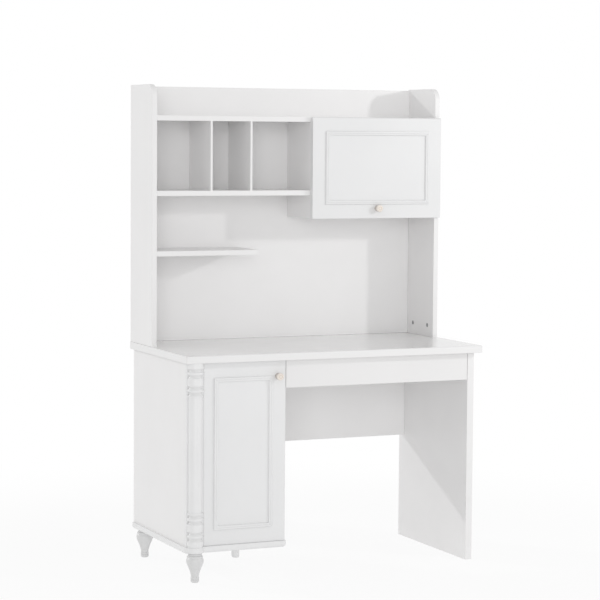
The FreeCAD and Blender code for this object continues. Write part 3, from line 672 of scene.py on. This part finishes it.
def lie(points, axis):
    """The two ends of a turned solid along an axis, its middle, and the widest radius at each end."""
    low = min(point[axis] for point in points)
    high = max(point[axis] for point in points)
    middle = Vector([(min(p[i] for p in points) + max(p[i] for p in points)) / 2 for i in range(3)])

    def spread(end):
        return max(from_middle(p, middle, axis) for p in points if abs(p[axis] - end) < END_REACH)

    return low, high, middle, spread(low), spread(high)


def facing(place, outward):
    """The matrix that takes a piece modelled along +Z to a place, facing outward."""
    turn = Vector((0, 0, 1)).rotation_difference(outward).to_matrix().to_4x4()
    return Matrix.Translation(place) @ turn


def join_copies(name, master, matrices):
    """Puts a copy of a finished piece at each place, joins them under a name and removes the piece."""
    bpy.ops.object.select_all(action="DESELECT")
    for matrix in matrices:
        copy = master.copy()
        copy.data = master.data.copy()
        copy.data.transform(matrix)
        bpy.context.scene.collection.objects.link(copy)
        copy.select_set(True)
        bpy.context.view_layer.objects.active = copy
    if len(matrices) > 1:
        bpy.ops.object.join()
    joined = bpy.context.view_layer.objects.active
    joined.name = name
    joined.data.name = name
    bpy.data.objects.remove(master)
    return joined


def cut_cross(piece, span, width, depth, top):
    """Cuts a cross-shaped recess, which tapers downwards, into a screw head or a cam."""
    cutter = fresh(bpy.ops.mesh.primitive_cube_add, size=1.0, location=(0, 0, top - depth / 2))
    cutter.scale = (span, width, depth)
    settle(cutter)
    bpy.ops.object.mode_set(mode="EDIT")
    pick(lambda face, corners: face.normal.z < -FLAT)
    bpy.ops.transform.resize(value=CROSS_TAPER)
    bpy.ops.mesh.select_all(action="SELECT")
    bpy.ops.mesh.duplicate()
    bpy.ops.transform.rotate(value=math.pi / 2, orient_axis="Z", center_override=(0, 0, 0))
    bpy.ops.object.mode_set(mode="OBJECT")
    take(piece)
    recess = piece.modifiers.new("recess", "BOOLEAN")
    recess.object = cutter
    recess.operation = "DIFFERENCE"
    recess.solver = "EXACT"
    recess.use_self = True
    bpy.ops.object.modifier_apply(modifier=recess.name)
    bpy.data.objects.remove(cutter)
    bpy.ops.object.shade_smooth_by_angle(angle=SMOOTH_ANGLE)


def stand_for(piece, node, body, material):
    wear_finish(piece, material)
    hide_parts(node)
    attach(piece, body)


class DeskLooks(bpy.types.PropertyGroup):
    """Colours and surface qualities of the desk."""

    board: FloatVectorProperty(name="Board white", description="Foil on the boards", subtype="COLOR",
                               default=(0.836, 0.830, 0.829))
    edge_band: FloatVectorProperty(name="Edge band", description="Glued edge of the boards", subtype="COLOR",
                                   default=(0.825, 0.822, 0.820))
    door: FloatVectorProperty(name="Door white", description="Lacquer on door, flap and mouldings",
                              subtype="COLOR", default=(0.800, 0.801, 0.804))
    turned: FloatVectorProperty(name="Turned white", description="Lacquer on post, base and plain foot",
                                subtype="COLOR", default=(0.812, 0.812, 0.814))
    # Painted shade: the turned feet get a darker copy of the turned white, for the shade they stand in low
    # under the base
    foot_with_painted_shade: FloatVectorProperty(name="Foot white", description="Lacquer on the turned feet", subtype="COLOR",
                              default=(0.710, 0.710, 0.711))
    handled: FloatVectorProperty(name="Handling marks", description="Shade of worn and touched places",
                                 subtype="COLOR", default=(0.60, 0.56, 0.50))
    # Colour of the hairline joints and mitres, and also of the painted shade beside the mouldings and in the
    # post's grooves
    seam: FloatVectorProperty(name="Seam", description="Shade of hairline joints", subtype="COLOR",
                              default=(0.42, 0.41, 0.40))
    knob: FloatVectorProperty(name="Knob ivory", description="Glaze of the knobs", subtype="COLOR",
                              default=(0.830, 0.765, 0.700))
    knob_groove: FloatVectorProperty(name="Knob groove", description="Glaze pooled in the ring",
                                     subtype="COLOR", default=(0.62, 0.50, 0.40))
    knob_body: FloatVectorProperty(name="Knob body", description="Warm grey glaze behind the knob's face",
                                   subtype="COLOR", default=(0.55, 0.505, 0.47))
    steel: FloatVectorProperty(name="Zinc plate", description="Plated steel fittings", subtype="COLOR",
                               default=(0.62, 0.62, 0.63))
    cast: FloatVectorProperty(name="Cast zinc", description="Cam locks", subtype="COLOR",
                              default=(0.34, 0.34, 0.35))
    beech: FloatVectorProperty(name="Beech", description="Dowels", subtype="COLOR",
                               default=(0.62, 0.44, 0.27))
    bumper: FloatVectorProperty(name="Bumper", description="Silicone stops", subtype="COLOR",
                                default=(0.78, 0.78, 0.77))
    plastic: FloatVectorProperty(name="Catch plastic", description="Magnetic catch", subtype="COLOR",
                                 default=(0.80, 0.80, 0.79))
    board_roughness: FloatProperty(name="Board roughness", description="Sheen of the boards", default=0.36,
                                   min=0.0, max=1.0, subtype="FACTOR")
    worktop_roughness: FloatProperty(name="Worktop roughness", description="Polish of the worktop",
                                     default=0.12, min=0.0, max=1.0, subtype="FACTOR")
    lacquer_roughness: FloatProperty(name="Lacquer roughness", description="Sheen of the lacquer",
                                     default=0.38, min=0.0, max=1.0, subtype="FACTOR")
    band_width: FloatProperty(name="Edge band thickness", description="Thickness of the glued edge",
                              default=0.0008, unit="LENGTH")
    moulding_width: FloatProperty(name="Moulding width", description="Width of the moulding strips",
                                  default=0.013, unit="LENGTH")
    hutch_corner: FloatProperty(name="Hutch corner", description="Radius of the uprights' top corner",
                                default=0.043, unit="LENGTH")
    # The groove and shaft radii bound the painted shade on the post: full below the first, gone at the
    # second
    post_groove: FloatProperty(name="Post groove", description="Radius at the bottom of the post's grooves",
                               default=0.0215, unit="LENGTH")
    post_shaft: FloatProperty(name="Post shaft", description="Radius of the post's plain shaft",
                              default=0.0236, unit="LENGTH")
    knob_ring: FloatProperty(name="Knob ring", description="Radius of the groove in the knob's face",
                             default=0.0054, unit="LENGTH")
    knob_face: FloatProperty(name="Knob face", description="Thickness of the knob's ivory face",
                             default=0.0082, unit="LENGTH")


class DeskStudio(bpy.types.PropertyGroup):
    """Camera, light and floor."""

    camera_place: FloatVectorProperty(name="Camera place", description="Where the camera stands",
                                      subtype="TRANSLATION", default=(-3.0635, -6.7972, 1.4788))
    camera_yaw: FloatProperty(name="Camera yaw", description="Turn to the right", subtype="ANGLE",
                              default=math.radians(24.095))
    camera_pitch: FloatProperty(name="Camera pitch", description="Tilt downwards", subtype="ANGLE",
                                default=math.radians(4.338))
    camera_roll: FloatProperty(name="Camera roll", description="Turn about the line of sight",
                               subtype="ANGLE", default=math.radians(-0.406))
    lens: FloatProperty(name="Lens", description="Focal length on a 36 mm frame, in millimetres",
                        default=127.93, min=1.0)
    ambient: FloatProperty(name="Ambient", description="Even light from all round", default=0.665, min=0.0)
    key_power: FloatProperty(name="Key light", description="Lamp at the right front", default=16.3,
                             min=0.0, unit="POWER")
    key_place: FloatVectorProperty(name="Key place", description="Where the lamp stands",
                                   subtype="TRANSLATION", default=(2.23, -2.00, 1.98))
    key_aim: FloatVectorProperty(name="Key aim", description="Point that the lamp is turned to",
                                 subtype="TRANSLATION", default=(0.0, 0.0, 0.9))
    key_size: FloatProperty(name="Key size", description="Width of the lamp", default=0.16,
                            unit="LENGTH")
    rim_strength: FloatProperty(name="Rim light", description="Low light from behind on the left",
                                default=0.58, min=0.0)
    rim_direction: FloatVectorProperty(name="Rim direction", description="Way the rim light shines",
                                       subtype="DIRECTION", default=(0.8, -1.0, -0.5))
    rim_angle: FloatProperty(name="Rim angle", description="Width of the rim light", subtype="ANGLE",
                             default=math.radians(1.5))
    fill_strength: FloatProperty(name="Fill light", description="Broad light from the camera's side",
                                 default=0.61, min=0.0)
    fill_direction: FloatVectorProperty(name="Fill direction", description="Way the fill light shines",
                                        subtype="DIRECTION", default=(0.41, 0.91, -0.10))
    fill_angle: FloatProperty(name="Fill angle", description="Width of the fill light", subtype="ANGLE",
                              default=math.radians(25.0))
    floor_shade: FloatVectorProperty(name="Floor shade", description="Matt white of the floor",
                                     subtype="COLOR", default=(0.92, 0.92, 0.92))
    floor_glow: FloatProperty(name="Floor glow", description="How far the floor near the desk is whitened",
                              default=0.88, min=0.0, max=1.0, subtype="FACTOR")
    floor_bounce: FloatProperty(name="Floor bounce",
                                description="White light that the floor throws up at the desk",
                                default=0.42, min=0.0, max=1.0, subtype="FACTOR")
    floor_near: FloatProperty(name="Floor near", description="Distance at which the floor starts to whiten",
                              default=0.9, unit="LENGTH")
    floor_far: FloatProperty(name="Floor far", description="Distance from which the floor is pure white",
                             default=2.4, unit="LENGTH")
    floor_half: FloatProperty(name="Floor half width", description="Half the floor's side", default=9.0,
                              unit="LENGTH")


class DESK_OT_boards(bpy.types.Operator):
    """Give every plain board its white foil"""

    bl_idname = "desk.boards"
    bl_label = "Boards"

    def execute(self, context):
        for node in BOARDS:
            wear_finish(NODES[node], board_finish(node, context.scene.desk_looks))
        return {"FINISHED"}


class DESK_OT_worktop(bpy.types.Operator):
    """Give the worktop its polished face"""

    bl_idname = "desk.worktop"
    bl_label = "Worktop"

    def execute(self, context):
        wear_finish(NODES["worktop"], worktop_finish(context.scene.desk_looks))
        return {"FINISHED"}


class DESK_OT_doors(bpy.types.Operator):
    """Lacquer the door and the flap"""

    bl_idname = "desk.doors"
    bl_label = "Door and flap"

    def execute(self, context):
        looks = context.scene.desk_looks
        for leaf in LEAVES:
            finish = door_finish(leaf + "_panel", leaf + "_moulding", leaf + "_knob", looks)
            wear_finish(NODES[leaf + "_panel"], finish)
            wear_finish(NODES[leaf + "_knob"], knob_finish(leaf + "_knob", looks))
        return {"FINISHED"}


class DESK_OT_turned(bpy.types.Operator):
    """Lacquer the turned post, the base plate and the feet"""

    bl_idname = "desk.turned"
    bl_label = "Post, base and feet"

    def execute(self, context):
        looks = context.scene.desk_looks
        # The post's finish paints shade into its grooves
        post = lacquer_finish("white_post", looks, looks.turned, turned_with="front_foot")
        wear_finish(NODES["corner_post"], post)
        # The bulb feet wear the foot white, a darker copy of the turned white that paints their shade
        groups = (("white_turned", looks.turned, TURNED), ("white_foot", looks.foot_with_painted_shade, BULBS))
        for name, colour, nodes in groups:
            lacquer = lacquer_finish(name, looks, colour)
            for node in nodes:
                wear_finish(NODES[node], lacquer)
        return {"FINISHED"}


class DESK_OT_mouldings(bpy.types.Operator):
    """Run a moulded strip round the door and the flap"""

    bl_idname = "desk.mouldings"
    bl_label = "Mouldings"

    def execute(self, context):
        looks = context.scene.desk_looks
        for leaf in LEAVES:
            node = leaf + "_moulding"
            strip = self.run_strip(looks.moulding_width, *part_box(node))
            strip.name = node + "_strips"
            stand_for(strip, node, leaf, moulding_finish(node, looks))
        return {"FINISHED"}

    def run_strip(self, width, low, high):
        """Insets step by step from the outer rectangle, each step a share of the width and the height."""
        height = high.y - low.y
        middle = (low + high) / 2
        strip = fresh(bpy.ops.mesh.primitive_plane_add, size=1.0, location=(middle.x, high.y, middle.z),
                      rotation=(math.pi / 2, 0, 0))
        strip.scale = (high.x - low.x, high.z - low.z, 1.0)
        settle(strip)
        bpy.ops.object.mode_set(mode="EDIT")
        bpy.ops.mesh.select_mode(type="FACE")
        bpy.ops.mesh.select_all(action="SELECT")
        wall = height * MOULDING_WALL
        fall = tuple((across, -up) for across, up in reversed(MOULDING_SHOULDER))
        push((0, -wall, 0))
        for across, up in MOULDING_SHOULDER + MOULDING_GROOVE + fall:
            bpy.ops.mesh.inset(thickness=width * across, depth=height * up)
        push((0, wall, 0))
        bpy.ops.mesh.delete(type="FACE")
        pick_level(1, high.y)
        bpy.ops.mesh.bridge_edge_loops()
        bpy.ops.mesh.select_all(action="SELECT")
        bpy.ops.mesh.remove_doubles(threshold=SAME_PLACE)
        bpy.ops.mesh.normals_make_consistent(inside=False)
        bpy.ops.object.mode_set(mode="OBJECT")
        bpy.ops.object.shade_smooth_by_angle(angle=STRIP_SMOOTH_ANGLE)
        return strip


class DESK_OT_screws(bpy.types.Operator):
    """Model a cross-head screw and set it in every screw's place"""

    bl_idname = "desk.screws"
    bl_label = "Screws"

    def execute(self, context):
        plate = plated_finish(context.scene.desk_looks)
        for node in PLATED:
            wear_finish(NODES[node], plate)
        for node, body in SCREWS:
            matrices = []
            for points in islands(node):
                matrix, sizes = self.seat(points)
                matrices.append(matrix)
            screws = join_copies(node + "_cross_head", self.make_screw(*sizes), matrices)
            stand_for(screws, node, body, plate)
        return {"FINISHED"}

    def seat(self, points):
        """Where a packed screw sits: its head's underside, its direction and its sizes."""
        spans = [max(p[i] for p in points) - min(p[i] for p in points) for i in range(3)]
        axis = spans.index(max(spans))
        low, high, middle, at_low, at_high = lie(points, axis)
        head_radius = max(at_low, at_high)
        wide = [p[axis] for p in points if from_middle(p, middle, axis) > head_radius * HEAD_SHARE]
        head_height = max(wide) - min(wide)
        outward = Vector([1.0 if index == axis else 0.0 for index in range(3)])
        under = middle.copy()
        under[axis] = high
        if at_high <= at_low:
            outward = -outward
            under[axis] = low
        under -= outward * head_height
        sizes = (head_radius, head_height, min(at_low, at_high), high - low - head_height)
        return facing(under, outward), sizes

    def make_screw(self, head_radius, head_height, shank_radius, length):
        """A pan-head screw along -Z: a domed head with a cross recess over a shank."""
        screw = fresh(bpy.ops.mesh.primitive_cylinder_add, vertices=SCREW_SIDES, radius=head_radius,
                      depth=head_height, location=(0, 0, head_height / 2))
        settle(screw)
        bpy.ops.object.mode_set(mode="EDIT")
        pick(lambda face, corners: face.normal.z < -FLAT)
        bpy.ops.mesh.inset(thickness=head_radius - shank_radius)
        push((0, 0, -length * SCREW_SHANK))
        push((0, 0, -length * SCREW_POINT))
        bpy.ops.transform.resize(value=(SCREW_TIP, SCREW_TIP, 1.0))
        pick_level(2, head_height)
        bpy.ops.mesh.bevel(offset=head_height * SCREW_DOME, segments=DOME_STEPS, affect="EDGES")
        bpy.ops.object.mode_set(mode="OBJECT")
        span, width, depth, top = SCREW_CROSS
        cut_cross(screw, head_radius * span, head_radius * width, head_height * depth, head_height * top)
        return screw


class DESK_OT_cams(bpy.types.Operator):
    """Model a cam lock with its cross slot and set it in the feet of the uprights"""

    bl_idname = "desk.cams"
    bl_label = "Cam locks"

    def execute(self, context):
        matrices = []
        for points in islands("cam_locks"):
            low, high, middle, at_low, at_high = lie(points, 0)
            inward = 1.0 if middle.x < 0 else -1.0
            mouth = Vector((high if inward > 0 else low, middle.y, middle.z))
            matrices.append(facing(mouth, Vector((inward, 0, 0))))
        cam = self.make_cam(max(at_low, at_high), high - low)
        cams = join_copies("cam_locks_cross_slot", cam, matrices)
        metal = grained_finish("cast_zinc", "cast", context.scene.desk_looks.cast, Metallic=1.0)
        stand_for(cams, "cam_locks", "desk", metal)
        return {"FINISHED"}

    def make_cam(self, radius, depth):
        """A disc along -Z with a sunk face and a cross slot."""
        cam = fresh(bpy.ops.mesh.primitive_cylinder_add, vertices=CAM_SIDES, radius=radius, depth=depth,
                    location=(0, 0, -depth / 2))
        settle(cam)
        bpy.ops.object.mode_set(mode="EDIT")
        pick_level(2, 0.0)
        bpy.ops.mesh.bevel(offset=radius * CAM_BEVEL, segments=CAM_BEVEL_STEPS, affect="EDGES")
        pick(lambda face, corners: face.normal.z > FLAT)
        bpy.ops.mesh.inset(thickness=radius * CAM_RIM)
        bpy.ops.mesh.inset(thickness=radius * CAM_STEP, depth=-radius * CAM_SINK)
        bpy.ops.object.mode_set(mode="OBJECT")
        span, width, sink = CAM_CROSS
        cut_cross(cam, radius * span, radius * width, radius * sink, 0.0)
        return cam


class DESK_OT_fittings(bpy.types.Operator):
    """Give the dowels, stops and catch their materials"""

    bl_idname = "desk.fittings"
    bl_label = "Dowels, stops and catch"

    def execute(self, context):
        looks = context.scene.desk_looks
        for nodes, material in ((DOWELS, beech_finish(looks)), (BUMPERS, bumper_finish(looks))):
            for node in nodes:
                wear_finish(NODES[node], material)
        wear_finish(NODES["magnetic_catch"], grained_finish("moulded_plastic", "plastic", looks.plastic))
        return {"FINISHED"}


class DESK_OT_stage(bpy.types.Operator):
    """Set up the pale floor, the soft light and the camera"""

    bl_idname = "desk.stage"
    bl_label = "Studio"

    def execute(self, context):
        studio = context.scene.desk_studio
        self.make_floor(studio)
        self.make_world(studio)
        self.make_lights(studio)
        self.make_camera(studio)
        context.scene.view_settings.view_transform = "Standard"
        return {"FINISHED"}

    def seen(self, finish):
        """1 for rays from the camera and for those in gloss and glass."""
        path = finish.node("ShaderNodeLightPath")
        outputs = path.socket.node.outputs
        kinds = ("Is Camera Ray", "Is Glossy Ray", "Is Transmission Ray")
        camera, gloss, glass = [Wire(finish, outputs[kind]) for kind in kinds]
        return camera.most(gloss).most(glass)

    def make_floor(self, studio):
        floor = fresh(bpy.ops.mesh.primitive_plane_add, size=2 * studio.floor_half, location=(0, 0, 0))
        floor.name = "studio_floor"
        finish = new_finish("pale_floor")
        x, y, z = finish.axes(finish.place())
        fade = (x * x + y * y).root().ramp(studio.floor_near, studio.floor_far, studio.floor_glow, 1.0)
        matt = finish.node("ShaderNodeBsdfDiffuse", None, {"Color": rgba(studio.floor_shade)})
        glow = finish.node("ShaderNodeEmission", None, {"Color": WHITE, "Strength": 1.0})
        white = (self.seen(finish) * fade).most(studio.floor_bounce)
        finish.output(finish.node("ShaderNodeMixShader", None, {0: white, 1: matt, 2: glow}))
        wear_finish(floor, finish.owner)

    def make_world(self, studio):
        sky = Finish(bpy.data.worlds.new("studio_white"))
        bpy.context.scene.world = sky.owner
        even = sky.node("ShaderNodeBackground", None, {"Color": WHITE, "Strength": studio.ambient})
        white = sky.node("ShaderNodeBackground", None, {"Color": WHITE, "Strength": 1.0})
        mixed = sky.node("ShaderNodeMixShader", None, {0: self.seen(sky), 1: even, 2: white})
        sky.output(mixed, "ShaderNodeOutputWorld")

    def add_light(self, name, kind, power, place, direction):
        bpy.ops.object.light_add(type=kind, location=place)
        light = bpy.context.object
        light.name = name
        light.data.energy = power
        light.rotation_euler = direction.to_track_quat("-Z", "Y").to_euler()
        return light.data

    def make_lights(self, studio):
        place = Vector(studio.key_place)
        key = self.add_light("key_light", "AREA", studio.key_power, place, Vector(studio.key_aim) - place)
        key.size = studio.key_size
        suns = (
            ("rim_light", studio.rim_strength, studio.rim_direction, studio.rim_angle),
            ("fill_light", studio.fill_strength, studio.fill_direction, studio.fill_angle),
        )
        for name, strength, way, angle in suns:
            direction = Vector(way)
            sun = self.add_light(name, "SUN", strength, direction * -SUN_DISTANCE, direction)
            sun.angle = angle

    def make_camera(self, studio):
        yaw, pitch, roll = studio.camera_yaw, studio.camera_pitch, studio.camera_roll
        ahead = Vector((math.sin(yaw) * math.cos(pitch), math.cos(yaw) * math.cos(pitch), -math.sin(pitch)))
        right = Vector((math.cos(yaw), -math.sin(yaw), 0.0))
        down = ahead.cross(right)
        across = right * math.cos(roll) + down * math.sin(roll)
        below = down * math.cos(roll) - right * math.sin(roll)
        bpy.ops.object.camera_add(location=studio.camera_place)
        camera = bpy.context.object
        camera.rotation_euler = Matrix((across, -below, -ahead)).transposed().to_euler()
        camera.data.sensor_fit = "HORIZONTAL"
        camera.data.sensor_width = SENSOR_WIDTH
        camera.data.lens = studio.lens
        camera.data.clip_end = VIEW_END
        bpy.context.scene.camera = camera


class DESK_PT_panel(bpy.types.Panel):
    """Buttons for each step of the desk's looks"""

    bl_label = "Student desk"
    bl_idname = "DESK_PT_panel"
    bl_space_type = "VIEW_3D"
    bl_region_type = "UI"
    bl_category = "Desk"

    def draw(self, context):
        for step in STEPS:
            self.layout.operator(step.bl_idname)
        for group in (context.scene.desk_looks, context.scene.desk_studio):
            box = self.layout.box()
            for name in group.__annotations__:
                box.prop(group, name)


STEPS = (
    DESK_OT_boards, DESK_OT_worktop, DESK_OT_doors, DESK_OT_turned, DESK_OT_mouldings, DESK_OT_screws,
    DESK_OT_cams, DESK_OT_fittings, DESK_OT_stage,
)
CLASSES = (DeskLooks, DeskStudio) + STEPS + (DESK_PT_panel,)


def register():
    for item in CLASSES:
        bpy.utils.register_class(item)
    bpy.types.Scene.desk_looks = PointerProperty(type=DeskLooks)
    bpy.types.Scene.desk_studio = PointerProperty(type=DeskStudio)


def unregister():
    del bpy.types.Scene.desk_looks
    del bpy.types.Scene.desk_studio
    for item in reversed(CLASSES):
        bpy.utils.unregister_class(item)


def main():
    register()
    bpy.ops.desk.boards()
    bpy.ops.desk.worktop()
    bpy.ops.desk.doors()
    bpy.ops.desk.turned()
    bpy.ops.desk.mouldings()
    bpy.ops.desk.screws()
    bpy.ops.desk.cams()
    bpy.ops.desk.fittings()
    bpy.ops.desk.stage()


if __name__ == "__main__":
    main()
